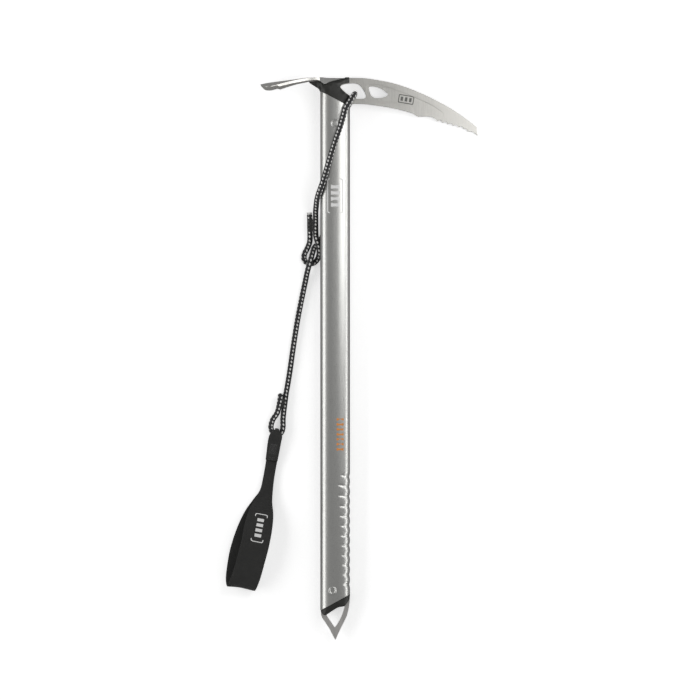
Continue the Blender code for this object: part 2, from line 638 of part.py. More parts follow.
patch_line = [(-66.1, 198, 8.5, 9.2, 0), (-65.0, 204, 8.5, 9.2, 0), (-64.3, 208.6, 8.9, 9.2, 0)]
ribbon("strap_bartack", patch_line, 0.8, THREAD)
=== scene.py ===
"""Looks of the ice axe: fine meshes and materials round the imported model, floor, soft light and camera.

Shapes are drawn in the axe's own frame, in millimetres: u across the shaft towards the pick, v up the shaft
from the spike's tip, w out of the axe's plane. The record's mounts give that frame its place in the world.
"""

import json
from math import ceil, cos, pi, sin

import bmesh
import bpy
import numpy as np
from mathutils import Matrix, Vector
from mathutils.geometry import delaunay_2d_cdt

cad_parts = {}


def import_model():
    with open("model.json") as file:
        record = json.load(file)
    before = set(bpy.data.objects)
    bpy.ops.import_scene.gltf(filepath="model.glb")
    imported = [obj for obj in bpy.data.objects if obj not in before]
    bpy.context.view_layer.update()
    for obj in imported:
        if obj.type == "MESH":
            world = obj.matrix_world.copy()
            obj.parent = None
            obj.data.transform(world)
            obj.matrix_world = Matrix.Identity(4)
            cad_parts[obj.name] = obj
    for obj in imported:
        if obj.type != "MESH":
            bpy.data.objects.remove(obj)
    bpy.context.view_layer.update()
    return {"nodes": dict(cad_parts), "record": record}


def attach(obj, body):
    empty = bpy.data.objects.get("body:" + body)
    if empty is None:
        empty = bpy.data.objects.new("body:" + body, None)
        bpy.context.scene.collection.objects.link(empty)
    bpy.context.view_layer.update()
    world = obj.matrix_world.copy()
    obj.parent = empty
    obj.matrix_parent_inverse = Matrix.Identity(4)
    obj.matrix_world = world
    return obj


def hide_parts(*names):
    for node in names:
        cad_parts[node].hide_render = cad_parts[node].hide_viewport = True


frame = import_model()

MM = 0.001

# ---------------------------------------------------------------- the axe's frame

GRIP_V = 115.0
mounts = {mount["name"]: mount for mount in frame["record"]["mounts"]}
NORMAL = Vector(mounts["pick_flank"]["axis"]).normalized()
UP = (Vector((0, 1, 0)) - NORMAL * NORMAL.y).normalized()
ACROSS = UP.cross(NORMAL)
ORIGIN = Vector(mounts["grip"]["pos_m"]) - UP * GRIP_V * MM


def world(p):
    """The point (u, v, w) in the world, in metres."""
    return ORIGIN + (ACROSS * p[0] + UP * p[1] + NORMAL * p[2]) * MM


def above(u, v, h):
    """The point over (u, v) that is h above the floor."""
    return Vector((u, v, (h - ORIGIN.z / MM - ACROSS.z * u - UP.z * v) / NORMAL.z))


# Shaft, with its notches and two rivets
SHAFT_A, SHAFT_B, SHAFT_POWER = 15.85, 10.0, 2.4
SHAFT_WALL = 1.6
TOP_CUT_V, TOP_CUT_SLOPE = 576.8, -0.54
LOW_CUT_V, LOW_CUT_SLOPE = 40.5, 0.5475
NOTCH_COUNT, NOTCH_FIRST_V, NOTCH_PITCH, NOTCH_DEPTH = 12, 59.2, 10.45, 0.95
HEAD_RIVET_UV, SPIKE_RIVET_UV = (-0.3, 550.7), (-2.6, 53.1)

# Head: half the pick's thickness, the depth of its pocket, and where the painted shade on the adze's crown
# begins
PICK_HALF, POCKET_DEPTH = 2.25, 0.75
PAINTED_SHADE_START_U = -16.5

# Leash
CORD_D = 6.0
CORD_GAP = 0.6
ROUTE_STEPS = 10

# Webbing: flat widths in metres, thicknesses in millimetres
WEB_T, BAND_T = 1.8, 1.6


# ---------------------------------------------------------------- curves and outlines


def between(table, x):
    """Value at x on the broken line through (x, value) pairs, held at both ends."""
    if x <= table[0][0]:
        return table[0][1]
    for (x0, y0), (x1, y1) in zip(table, table[1:]):
        if x <= x1:
            return y0 + (y1 - y0) * (x - x0) / (x1 - x0)
    return table[-1][1]


def smooth_step(low, high, x):
    """Nought below low, one above high, with a soft rise between them."""
    t = min(1.0, max(0.0, (x - low) / (high - low)))
    return t * t * (3 - 2 * t)


def spline(points, per):
    """Catmull-Rom curve through the points, with per steps from each point to the next."""
    pts = [Vector(p) for p in points]
    pts = [pts[0] * 2 - pts[1], *pts, pts[-1] * 2 - pts[-2]]
    out = []
    for a, b, c, d in zip(pts, pts[1:], pts[2:], pts[3:]):
        for k in range(per):
            t = k / per
            cubic = (b * 3 - a - c * 3 + d) * t**3
            out.append(0.5 * (b * 2 + (c - a) * t + (a * 2 - b * 5 + c * 4 - d) * t**2 + cubic))
    return [*out, pts[-2]]


def evenly(points, step):
    """The points of a broken line at even steps of about the given length."""
    pts = np.array([tuple(p) for p in points])
    run = np.concatenate([[0], np.cumsum(np.linalg.norm(np.diff(pts, axis=0), axis=1))])
    at = np.linspace(0, run[-1], max(2, ceil(run[-1] / step) + 1))
    return np.stack([np.interp(at, run, pts[:, k]) for k in range(pts.shape[1])], axis=1), at


def oval(a, b, sides, power=SHAFT_POWER):
    """Points of a flattened oval, counter-clockwise in (u, w)."""
    out = []
    for k in range(sides):
        c, s = cos(2 * pi * k / sides), sin(2 * pi * k / sides)
        u = a * abs(c) ** (2 / power)
        w = b * abs(s) ** (2 / power)
        out.append((u if c > 0 else -u, w if s > 0 else -w))
    return out


def oval_w(u, a=SHAFT_A, b=SHAFT_B):
    """Half depth of the oval at u."""
    return b * (1 - min(abs(u) / a, 1.0) ** SHAFT_POWER) ** (1 / SHAFT_POWER)


def oval_normal(u, w):
    """Direction square to the shaft's surface at (u, w)."""
    steep = SHAFT_POWER - 1
    n = Vector((abs(u / SHAFT_A) ** steep / SHAFT_A, abs(w / SHAFT_B) ** steep / SHAFT_B)).normalized()
    return Vector((n.x if u > 0 else -n.x, 0, n.y if w > 0 else -n.y))


def inside(point, loop):
    """Whether the point lies within the closed outline."""
    x, y = point
    hit = False
    for (x0, y0), (x1, y1) in zip(loop, loop[1:] + loop[:1]):
        if (y0 > y) != (y1 > y) and x < x0 + (x1 - x0) * (y - y0) / (y1 - y0):
            hit = not hit
    return hit


def edge_distance(point, loop):
    """Distance from the point to the nearest side of the outline."""
    p = Vector(point)
    best = 1e9
    for a, b in zip(loop, loop[1:] + loop[:1]):
        a, b = Vector(a), Vector(b)
        d = b - a
        t = max(0.0, min(1.0, (p - a).dot(d) / max(d.length_squared, 1e-12)))
        best = min(best, (a + d * t - p).length)
    return best


# ---------------------------------------------------------------- meshes


def sheet_mesh(outline, holes, spacing, place, upper, lower):
    """Closed body over a flat outline: place maps (x, y, height) to (u, v, w)."""
    loops = [[tuple(p) for p in loop] for loop in [outline, *holes]]
    pts, edges = [], []
    for loop in loops:
        first = len(pts)
        pts += loop
        edges += [(first + i, first + (i + 1) % len(loop)) for i in range(len(loop))]

    def solid_at(p):
        return inside(p, loops[0]) and not any(inside(p, hole) for hole in loops[1:])

    xs, ys = zip(*loops[0])
    for i in range(ceil((max(xs) - min(xs)) / spacing)):
        for j in range(ceil((max(ys) - min(ys)) / spacing)):
            p = (min(xs) + (i + 0.5 + 0.25 * (j % 2)) * spacing, min(ys) + (j + 0.5) * spacing)
            if solid_at(p) and min(edge_distance(p, loop) for loop in loops) > 0.5 * spacing:
                pts.append(p)
    flat, _, tris, _, _, _ = delaunay_2d_cdt([Vector(p) for p in pts], edges, [], 0, 1e-6)
    flat = [tuple(p) for p in flat]
    tris = [t for t in tris if solid_at(tuple(sum(flat[i][k] for i in t) / 3 for k in (0, 1)))]
    n = len(flat)
    verts = [place(x, y, upper(x, y)) for x, y in flat] + [place(x, y, lower(x, y)) for x, y in flat]
    faces = [tuple(t) for t in tris] + [tuple(i + n for i in reversed(t)) for t in tris]
    sides = {(a, b) for t in tris for a, b in zip(t, [*t[1:], t[0]])}
    faces += [(b, a, a + n, b + n) for a, b in sorted(sides) if (b, a) not in sides]
    return verts, faces


def ring_faces(rings, around, closed=False):
    """Quads between rings of points, with capped ends unless the last ring joins the first."""
    joined = rings if closed else rings - 1
    faces = [
        (j * around + i, j * around + (i + 1) % around,
         (j + 1) % rings * around + (i + 1) % around, (j + 1) % rings * around + i)
        for j in range(joined)
        for i in range(around)
    ]
    if not closed:
        last = (rings - 1) * around
        faces += [tuple(reversed(range(around))), tuple(range(last, last + around))]
    return faces


def carried_frames(points):
    """Two directions square to a line at each of its points, carried along without twist."""
    run = np.gradient(points, axis=0)
    run /= np.linalg.norm(run, axis=1)[:, None]
    side = np.zeros_like(points)
    start = np.cross(run[0], (0, 0, 1.0))
    side[0] = start / np.linalg.norm(start)
    for i in range(1, len(points)):
        carried = side[i - 1] - run[i] * np.dot(side[i - 1], run[i])
        side[i] = carried / np.linalg.norm(carried)
    return side, np.cross(run, side)


def tube(points, radius, sides=8):
    """Round tube along a line."""
    pts = np.array([tuple(p) for p in points])
    side, over = carried_frames(pts)
    angle = np.arange(sides) * 2 * pi / sides
    ring = np.cos(angle)[None, :, None] * side[:, None] + np.sin(angle)[None, :, None] * over[:, None]
    verts = (pts[:, None] + ring * radius).reshape(-1, 3)
    return verts.tolist(), ring_faces(len(pts), sides)


def joined(parts):
    """One mesh from several (verts, faces)."""
    verts, faces = [], []
    for part_verts, part_faces in parts:
        first = len(verts)
        verts += list(part_verts)
        faces += [tuple(i + first for i in face) for face in part_faces]
    return verts, faces


def show(ob, body, slot, *nodes):
    """Puts the object on its body and in place of its nodes."""
    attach(ob, body)
    if nodes:
        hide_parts(*nodes)
    return ob


def piece(name, verts, faces, look, body, slot, nodes=(), sharp=None):
    """Visible piece from millimetres in the axe's frame."""
    mesh = bpy.data.meshes.new(name)
    mesh.from_pydata([world(v) for v in verts], [], faces)
    bm = bmesh.new()
    bm.from_mesh(mesh)
    bmesh.ops.recalc_face_normals(bm, faces=bm.faces)
    bm.to_mesh(mesh)
    bm.free()
    mesh.shade_smooth()
    if sharp:
        mesh.set_sharp_from_angle(angle=sharp * pi / 180)
    mesh.materials.append(look)
    ob = bpy.data.objects.new(name, mesh)
    bpy.context.collection.objects.link(ob)
    return show(ob, body, slot, *nodes)


def copy_of(node, name):
    """A new object with the node's solid, its flat faces whole again."""
    mesh = frame["nodes"][node].data.copy()
    mesh.name = name
    bm = bmesh.new()
    bm.from_mesh(mesh)
    bmesh.ops.remove_doubles(bm, verts=bm.verts, dist=1e-6)
    bmesh.ops.dissolve_limit(bm, angle_limit=0.5 * pi / 180, verts=bm.verts, edges=bm.edges)
    bm.to_mesh(mesh)
    bm.free()
    mesh.materials.clear()
    ob = bpy.data.objects.new(name, mesh)
    bpy.context.collection.objects.link(ob)
    return ob


def applied(ob):
    """Makes the object's modifiers real."""
    graph = bpy.context.evaluated_depsgraph_get()
    mesh = bpy.data.meshes.new_from_object(ob.evaluated_get(graph))
    ob.modifiers.clear()
    ob.data = mesh
    return ob


def machined(node, name, look, slot, width, segments=3):
    """The node's solid with its edges broken, as ground or milled metal has them."""
    ob = copy_of(node, name)
    ob.data.shade_smooth()
    bevel = ob.modifiers.new("broken edges", "BEVEL")
    bevel.width, bevel.segments, bevel.limit_method = width * MM, segments, "ANGLE"
    bevel.angle_limit = 28 * pi / 180
    flats = ob.modifiers.new("flat faces stay flat", "WEIGHTED_NORMAL")
    flats.weight = 100
    applied(ob)
    ob.data.materials.append(look)
    return show(ob, "axe", slot, node)


def moulded(node, name, look, slot, voxel, rounds):
    """The node's solid with soft, moulded edges."""
    ob = copy_of(node, name)
    remesh = ob.modifiers.new("fine mesh", "REMESH")
    remesh.mode, remesh.voxel_size = "VOXEL", voxel * MM
    soften = ob.modifiers.new("soft edges", "SMOOTH")
    soften.factor, soften.iterations = 0.5, rounds
    applied(ob)
    ob.data.shade_smooth()
    ob.data.materials.clear()
    ob.data.materials.append(look)
    return show(ob, "axe", slot, node)


# ---------------------------------------------------------------- materials


class Look:
    """A node material being built: node() adds a node, wires its inputs and returns its first output."""

    def __init__(self, name, color, rough, metal=0.0, **sockets):
        self.mat = bpy.data.materials.new(name)
        self.mat.use_nodes = True
        self.tree = self.mat.node_tree
        self.shader = self.tree.nodes["Principled BSDF"]
        self.set("Base Color", (*color, 1) if isinstance(color, tuple) else color)
        self.set("Roughness", rough)
        self.set("Metallic", metal)
        for socket, value in sockets.items():
            self.set(socket.replace("_", " "), value)

    def set(self, socket, value):
        if isinstance(value, bpy.types.NodeSocket):
            self.tree.links.new(value, self.shader.inputs[socket])
        else:
            self.shader.inputs[socket].default_value = value

    def node(self, kind, inputs=(), output=0, **settings):
        node = self.tree.nodes.new(kind)
        for key, value in settings.items():
            setattr(node, key, value)
        for key, value in dict(inputs).items():
            if isinstance(value, bpy.types.NodeSocket):
                self.tree.links.new(value, node.inputs[key])
            else:
                node.inputs[key].default_value = value
        return node.outputs[output]

    def place(self, scale=(1, 1, 1), turn=(0, 0, 0), source="Object"):
        where = self.node("ShaderNodeTexCoord", output=source)
        return self.node("ShaderNodeMapping", {"Vector": where, "Scale": scale, "Rotation": turn})

    def noise(self, where, scale, detail=3.0, rough=0.55):
        return self.node("ShaderNodeTexNoise",
                         {"Vector": where, "Scale": scale, "Detail": detail, "Roughness": rough})

    def span(self, value, low, high, start=0.0, end=1.0):
        """Maps value from start..end to low..high, clamped."""
        return self.node("ShaderNodeMapRange",
                         {"Value": value, "From Min": start, "From Max": end, "To Min": low, "To Max": high})

    def mix(self, amount, a, b):
        node = self.tree.nodes.new("ShaderNodeMix")
        node.data_type = "RGBA"
        for key, value in ((0, amount), (6, a), (7, b)):
            if isinstance(value, bpy.types.NodeSocket):
                self.tree.links.new(value, node.inputs[key])
            else:
                node.inputs[key].default_value = (*value, 1) if isinstance(value, tuple) else value
        return node.outputs[2]

    def math(self, operation, a, b=0.0):
        return self.node("ShaderNodeMath", {0: a, 1: b}, operation=operation)

    def bump(self, height, distance, strength=1.0):
        """Adds relief of about distance millimetres."""
        before = self.shader.inputs["Normal"]
        inputs = {"Height": height, "Distance": distance * MM, "Strength": strength}
        if before.is_linked:
            inputs["Normal"] = before.links[0].from_socket
        self.set("Normal", self.node("ShaderNodeBump", inputs))
        return self


def aluminium():
    look = Look("satin aluminium", (0.62, 0.62, 0.6), 0.34, 1.0)
    grain = look.noise(look.place(), 1100, 4, 0.7)
    drawn = look.noise(look.place((1, 0.02, 1)), 700, 2)
    tone = look.math("MULTIPLY", look.span(grain, 0.86, 1.1, 0.3, 0.7), look.span(drawn, 0.97, 1.03))
    look.set("Base Color", look.mix(tone, (0.0, 0.0, 0.0), (0.62, 0.62, 0.6)))
    look.set("Roughness", look.span(grain, 0.27, 0.42, 0.3, 0.7))
    return look.bump(grain, 0.03).mat


def ground_steel(name, color, rough, turn):
    """Steel ground in one direction, at turn radians from the shaft."""
    look = Look(name, color, rough, 1.0)
    strokes = look.noise(look.place((1, 0.05, 1), (0, 0, turn)), 1500, 3, 0.6)
    cloud = look.noise(look.place(), 60, 2)
    tone = look.math("MULTIPLY", look.span(strokes, 0.9, 1.08, 0.3, 0.7), look.span(cloud, 0.94, 1.04))
    look.set("Base Color", look.mix(tone, (0.0, 0.0, 0.0), color))
    look.set("Roughness", look.span(strokes, rough - 0.07, rough + 0.08, 0.3, 0.7))
    return look.bump(strokes, 0.02).mat


def plastic():
    look = Look("black plastic", (0.017, 0.017, 0.015), 0.42)
    pebble = look.node("ShaderNodeTexVoronoi", {"Vector": look.place(), "Scale": 900.0})
    wear = look.noise(look.place(), 160, 3)
    worn = look.span(wear, 0.0, 1.0, 0.35, 0.75)
    look.set("Base Color", look.mix(worn, (0.014, 0.014, 0.012), (0.03, 0.03, 0.027)))
    look.set("Roughness", look.span(wear, 0.36, 0.52))
    return look.bump(pebble, 0.05, 0.6).mat


def braid():
    look = Look("braided cord", (0.02, 0.02, 0.02), 0.85, Sheen_Weight=0.25, Sheen_Roughness=0.5)
    fleck = look.node("ShaderNodeAttribute", attribute_name="fleck", output=2)
    fibre = look.noise(look.place(), 2600, 2)
    dark = look.mix(look.span(fibre, 0.0, 1.0, 0.3, 0.7), (0.008, 0.008, 0.009), (0.035, 0.035, 0.037))
    light = look.mix(look.span(fibre, 0.0, 1.0, 0.3, 0.7), (0.78, 0.78, 0.76), (0.95, 0.95, 0.93))
    look.set("Base Color", look.mix(look.span(fleck, 0.0, 1.0, 0.3, 0.6), dark, light))
    return look.bump(fibre, 0.06).mat


def weave(name, dark, light, ribs):
    """Woven webbing: fine diagonal ribs, ribs per millimetre, from the weave's own coordinates."""
    look = Look(name, dark, 0.78, Sheen_Weight=0.35, Sheen_Roughness=0.45)
    where = look.node("ShaderNodeUVMap", uv_map="weave")
    parts = look.node("ShaderNodeSeparateXYZ", {"Vector": where})
    along, across = parts, parts.node.outputs[1]
    turns = ribs * 2 * pi
    slope = look.math("ADD", look.math("MULTIPLY", along, turns), look.math("MULTIPLY", across, turns))
    twill = look.math("SINE", slope)
    thread = look.math("SINE", look.math("MULTIPLY", along, ribs * 4 * pi))
    relief = look.math("ADD", twill, look.math("MULTIPLY", thread, 0.4))
    cloud = look.noise(look.place(), 120, 3)
    tone = look.math("MULTIPLY", look.span(relief, 0.2, 1.0, -1.2, 1.2), look.span(cloud, 0.7, 1.2, 0.3, 0.7))
    look.set("Base Color", look.mix(tone, dark, light))
    return look.bump(relief, 0.06).mat


def thread_look():
    look = Look("sewing thread", (0.02, 0.02, 0.02), 0.7, Sheen_Weight=0.3)
    twist = look.noise(look.place(), 3000, 2)
    pale = look.span(twist, 0.0, 1.0, 0.3, 0.7)
    look.set("Base Color", look.mix(pale, (0.012, 0.012, 0.012), (0.05, 0.05, 0.048)))
    return look.bump(twist, 0.05).mat


def ink(name, color, rough=0.5):
    look = Look(name, color, rough)
    speck = look.noise(look.place(), 1300, 3)
    look.set("Base Color", look.mix(look.span(speck, 0.86, 1.0, 0.3, 0.6), (0.2, 0.2, 0.2), color))
    return look.bump(speck, 0.01).mat


ALUMINIUM = aluminium()
HEAD_STEEL = ground_steel("head steel", (0.60, 0.59, 0.56), 0.36, 0.6)
ADZE_STEEL = ground_steel("adze steel", (0.64, 0.63, 0.60), 0.32, 1.5)
# painted shade: a dark steel colour for the adze's crown, standing in for the dark reflection there
CROWN_PAINTED_SHADE = ground_steel("crown steel with painted shade", (0.20, 0.20, 0.195), 0.5, 0.2)
SPIKE_STEEL = ground_steel("spike steel", (0.78, 0.765, 0.74), 0.42, -0.5)
RIVET_STEEL = ground_steel("rivet steel", (0.72, 0.72, 0.70), 0.3, 0.0)
PLASTIC = plastic()
SHIM_PLASTIC = ink("shim plastic", (0.06, 0.06, 0.06), 0.6)
BRAID = braid()
WEBBING = weave("webbing", (0.006, 0.006, 0.006), (0.030, 0.030, 0.028), 0.9)
BAND_WEAVE = weave("wrist band weave", (0.005, 0.005, 0.005), (0.024, 0.024, 0.022), 1.1)
THREAD = thread_look()
WHITE_INK = ink("white print", (0.85, 0.85, 0.84))
ORANGE_INK = ink("orange print", (0.80, 0.30, 0.06))
ETCH = ink("etched mark", (0.13, 0.13, 0.12), 0.6)

# ---------------------------------------------------------------- shaft

TUBE_SIDES = 128
RING_STEP = 0.5
# where each notch starts across the shaft, from the lowest notch up, and how it slopes
NOTCH_START_U = [8.0, 7.4, 7.1, 5.9, 5.6, 4.9, 4.9, 4.0, 3.8, 2.7, 2.5, 5.3]
NOTCH_SLOPE = [-0.03] * 9 + [-0.10, -0.16, -0.21]


def top_cut(u):
    return TOP_CUT_V + TOP_CUT_SLOPE * u


def low_cut(u):
    return LOW_CUT_V + LOW_CUT_SLOPE * u


def pressed(u, v):
    """Depth of the finger notches: creases with rounded pillows between them."""
    deepest = 0.0
    for i in range(NOTCH_COUNT):
        crease = NOTCH_FIRST_V + i * NOTCH_PITCH + NOTCH_SLOPE[i] * (u - SHAFT_A)
        away = abs(v - crease) / (NOTCH_PITCH / 2)
        if away < 1 and u > NOTCH_START_U[i]:
            fade = smooth_step(NOTCH_START_U[i], NOTCH_START_U[i] + 2.5, u)
            reach = 0.45 + 0.55 * smooth_step(NOTCH_START_U[i], SHAFT_A, u)
            if away < reach:
                deepest = max(deepest, NOTCH_DEPTH * fade * reach * (1 - away / reach) ** 2)
    return deepest


def shaft_mesh():
    section = oval(SHAFT_A, SHAFT_B, TUBE_SIDES)
    bore = oval(SHAFT_A - SHAFT_WALL, SHAFT_B - SHAFT_WALL, TUBE_SIDES)
    first = low_cut(SHAFT_A) + 1
    last = NOTCH_FIRST_V + NOTCH_COUNT * NOTCH_PITCH
    levels = [*np.arange(first, last, RING_STEP), *np.linspace(last, top_cut(SHAFT_A) - 2, 24)]
    rings = [[(u, low_cut(u), w) for u, w in section]]
    for v in levels:
        rings.append([Vector((u, v, w)) - oval_normal(u, w) * pressed(u, v) for u, w in section])
    rings.append([(u, top_cut(u), w) for u, w in section])
    rings += [[(u, cut(u), w) for u, w in bore] for cut in (top_cut, low_cut)]
    return [p for ring in rings for p in ring], ring_faces(len(rings), TUBE_SIDES, closed=True)


piece("shaft_tube", *shaft_mesh(), ALUMINIUM, "axe", "shaft", ["shaft"], sharp=40)

# ---------------------------------------------------------------- head, spike, cover, plug and rivets

machined("pick", "pick_blade", HEAD_STEEL, "head_steel", 0.35)
adze_blade = machined("adze", "adze_blade", ADZE_STEEL, "head_steel", 0.25)
# the crown's faces take the dark steel, a painted shade, in place of the adze's own colour
adze_blade.data.materials.append(CROWN_PAINTED_SHADE)
for face in adze_blade.data.polygons:
    if (face.center - world((PAINTED_SHADE_START_U, 0, 0))).dot(ACROSS) > 0:
        face.material_index = 1
machined("spike", "spike_blade", SPIKE_STEEL, "spike_steel", 0.4)
moulded("head_cover", "head_cover_moulding", PLASTIC, "black_plastic", 0.4, 6)
moulded("spike_plug", "spike_plug_moulding", PLASTIC, "black_plastic", 0.4, 5)
for shim in ("tang_shim_front", "tang_shim_back"):
    shim_mesh = frame["nodes"][shim].data
    shim_mesh.materials.clear()
    shim_mesh.materials.append(SHIM_PLASTIC)

# (radius, height) from the middle of a rivet's head out to its edge
RIVET_SIDE = [(0.0, 9.15), (1.0, 9.2), (1.9, 9.5), (2.5, 10.5), (3.3, 11.0), (4.1, 10.75), (4.4, 10.15),
              (4.3, 9.6)]


def rivet(name, uv, node, sides=64):
    """Rivet with a rolled, dished head on each side of the shaft."""
    side = [(max(0.02, p.x), p.y) for p in spline(RIVET_SIDE, 5)]
    profile = [*side, *((r, -w) for r, w in reversed(side))]
    rings = [(uv[0] + r * cos(2 * pi * k / sides), uv[1] + r * sin(2 * pi * k / sides), w)
             for r, w in profile for k in range(sides)]
    return piece(name, rings, ring_faces(len(profile), sides), RIVET_STEEL, "axe", "rivet_steel", [node])


rivet("head_rivet_heads", HEAD_RIVET_UV, "head_rivet")
rivet("spike_rivet_heads", SPIKE_RIVET_UV, "spike_rivet")

# ---------------------------------------------------------------- leash cord


def cord_on_oval():
    """(|u|, w) of a cord's centre lying on the shaft."""
    reach = CORD_D / 2 + CORD_GAP
    table = []
    quarter = oval(SHAFT_A, SHAFT_B, 200)[:52]
    for a, b, c in zip(quarter, quarter[1:], quarter[2:]):
        out = Vector((c[1] - a[1], a[0] - c[0])).normalized() * reach
        table.append((b[0] + out.x, b[1] + out.y))
    return sorted([*table, (0.0, SHAFT_B + reach)])


ON_OVAL = cord_on_oval()


def on_shaft(u, v, side=1):
    """Centre of a cord that lies on the shaft's front, or on its back for side -1."""
    return Vector((u, v, side * between(ON_OVAL, abs(u))))


# the way the cord lies, from its cut end: (u, v, height), but (u, v) on the shaft and (u, v, w) at the head
STUB = [(-27.6, 455, 8.0), (-27.2, 450, 7.3), (-27.1, 440, 6.8), (-26.9, 430.5, 6.4)]
UPPER_EYE = [(-27.4, 424.6, 4.3), (-29.9, 418.2, 3.3), (-33.0, 412.2, 3.3), (-33.4, 406.6, 3.3),
             (-30.2, 402.8, 3.3), (-25, 402.0, 3.3), (-20.4, 404.6, 3.7), (-17.6, 410, 5.8),
             (-17.0, 416, 8.7), (-17.9, 422.3, 10.2), (-19.6, 427, 9.7), (-20.7, 431.5, 8.3)]
RISE = [(-21.0, 440, 8.1), (-21.0, 450, 8.8), (-20.9, 457, 12.4), (-20.2, 463.5, 17.2),
        (-19.3, 469.8, 22.6)]
FRONT = [(-17.4, 476.5), (-14.4, 484.5), (-11.6, 492.8), (-5.5, 513.6), (-0.4, 530.2), (5.5, 546.8),
         (8.6, 557.5), (10.9, 566)]
HEAD_TURN = [(14.6, 572.2, 10.5), (17.8, 577.6, 8.0), (20.2, 581.3, 4.7), (21.0, 582.7, 0),
             (20.2, 581.3, -4.7), (17.8, 577.6, -8.0), (15.0, 572.2, -10.6)]
BACK = [(11.5, 566), (5, 545), (-0.5, 515), (-4.5, 485), (-7, 462)]
NOOSE = [(-10, 444, 3.9), (-13.6, 431, 3.3), (-17.8, 423.2, 3.3), (-22.2, 419.2, 4.2), (-24.3, 412.8, 7.6),
         (-26.2, 405.8, 9.9), (-28.2, 399.3, 9.3), (-30, 392.5, 6.5), (-31.8, 384, 3.8)]
MAIN = [(-33.5, 376, 3.3), (-36.9, 359.6, 3.3), (-40.5, 341, 3.3), (-44.6, 315, 3.3), (-48.4, 288, 3.3),
        (-51.0, 272, 3.4), (-52.6, 263, 4.2)]
LOWER_EYE = [(-53.4, 257, 4.8), (-55.2, 243, 4.8), (-56.0, 235, 5.2), (-56.0, 227, 5.5),
             (-57.6, 221.2, 5.5), (-62.0, 218.3, 5.5), (-66.8, 220.8, 5.5), (-68.9, 227, 5.5),
             (-66.8, 234.8, 6.0), (-61.7, 243, 7.1), (-58.9, 257, 8.3), (-58.3, 263, 8.3)]

route = [above(*p) for p in STUB + UPPER_EYE + RISE] + [on_shaft(*p) for p in FRONT]
route += [Vector(p) for p in HEAD_TURN] + [on_shaft(*p, -1) for p in BACK]
route += [above(*p) for p in NOOSE + MAIN + LOWER_EYE]

BRAID_STEP, BRAID_SIDES = 0.36, 48
SMOOTHING_ROUNDS = 6
# columns of short slanted strands; in every fourth, every second strand is white and a little larger
BRAID_COLUMNS, STRAND_PITCH = 16, 2.0
STRAND_HALF_WIDTH, STRAND_HALF_LENGTH, STRAND_SLANT = 0.86, 1.42, -0.5
WHITE_WIDER = 1.3
BRAID_RELIEF = 0.36
# how far a column of white flecks is turned from the axe's front, in degrees, at points of the route
COLUMN_TURN = [(0, -35), (3, -10), (6, 20), (10, 20), (13, -10), (17, 8), (21, -22), (28, -25), (36, -25),
               (45, 10), (49, 10), (51, 25), (54, 5), (56, 8), (60, 12), (63, 30), (66, 10), (68, 40)]


def braid_relief(along, around):
    """Height of the braid, nought to one, and its white flecks, over (mm along, mm around) grids."""
    width = pi * CORD_D / BRAID_COLUMNS
    height = np.zeros_like(along)
    fleck = np.zeros_like(along)
    column = np.floor(around / width)
    for dc in (-1, 0, 1):
        c = column + dc
        odd = np.mod(c, 2)
        across = around - (c + 0.5) * width
        row = np.round(along / STRAND_PITCH - odd / 2)
        white_column = np.mod(c, 4) == 0
        for dr in (-1, 0, 1):
            r = row + dr
            run = along - (r + odd / 2) * STRAND_PITCH
            slant = np.where(odd > 0, STRAND_SLANT, -STRAND_SLANT)
            x = across * np.cos(slant) + run * np.sin(slant)
            y = run * np.cos(slant) - across * np.sin(slant)
            white = white_column & (np.mod(r, 2) == 0)
            wider = np.where(white, WHITE_WIDER, 1.0)
            left = 1 - (x / STRAND_HALF_WIDTH / wider) ** 2
            left = left - (y / STRAND_HALF_LENGTH / wider**0.5) ** 2
            bump = np.sqrt(np.clip(left, 0, None)) * np.where(white, 1.1, 1.0)
            wins = bump > height
            fleck = np.where(wins, np.where(white, np.clip(left * 3, 0, 1), 0.0), fleck)
            height = np.where(wins, bump, height)
    return height, fleck


def column_twist(at, side, over):
    """Turn of the braid, in radians, that puts its white columns where COLUMN_TURN says."""
    line = np.array([tuple(p) for p in spline(route, ROUTE_STEPS)])
    run = np.concatenate([[0], np.cumsum(np.linalg.norm(np.diff(line, axis=0), axis=1))])[::ROUTE_STEPS]
    quarter = 2 * pi / 4
    turns = []
    for point, degrees in COLUMN_TURN:
        i = min(len(at) - 1, np.searchsorted(at, run[point]))
        front = np.arctan2(over[i][2], side[i][2])
        to_right = np.cross(np.cross(side[i], over[i]), (0, 0, 1))[0] > 0
        wanted = front + degrees * pi / 180 * (1 if to_right else -1)
        if turns:
            wanted += round((turns[-1] - wanted) / quarter) * quarter
        turns.append(wanted)
    return np.interp(at, [run[point] for point, _ in COLUMN_TURN], turns)


def leash_mesh():
    """The braided cord's points and faces, how white each point is, and its centreline."""
    centre, at = evenly(spline(route, ROUTE_STEPS), BRAID_STEP)
    for _ in range(SMOOTHING_ROUNDS):
        centre[1:-1] = centre[1:-1] * 0.5 + (centre[:-2] + centre[2:]) * 0.25
    side, over = carried_frames(centre)
    angle = np.arange(BRAID_SIDES) * 2 * pi / BRAID_SIDES
    along, turn = np.meshgrid(at, angle, indexing="ij")
    twisted = np.mod(turn - column_twist(at, side, over)[:, None] + pi / BRAID_COLUMNS, 2 * pi)
    height, fleck = braid_relief(along, twisted * CORD_D / 2)
    radius = CORD_D / 2 - BRAID_RELIEF + BRAID_RELIEF * height
    end = np.minimum(at, at[-1] - at)
    radius = radius * np.sqrt(np.clip(end / 1.0, 0.25, 1))[:, None]
    ring = np.cos(turn)[..., None] * side[:, None] + np.sin(turn)[..., None] * over[:, None]
    verts = (centre[:, None] + ring * radius[..., None]).reshape(-1, 3)
    return verts, ring_faces(len(centre), BRAID_SIDES), fleck.reshape(-1), centre


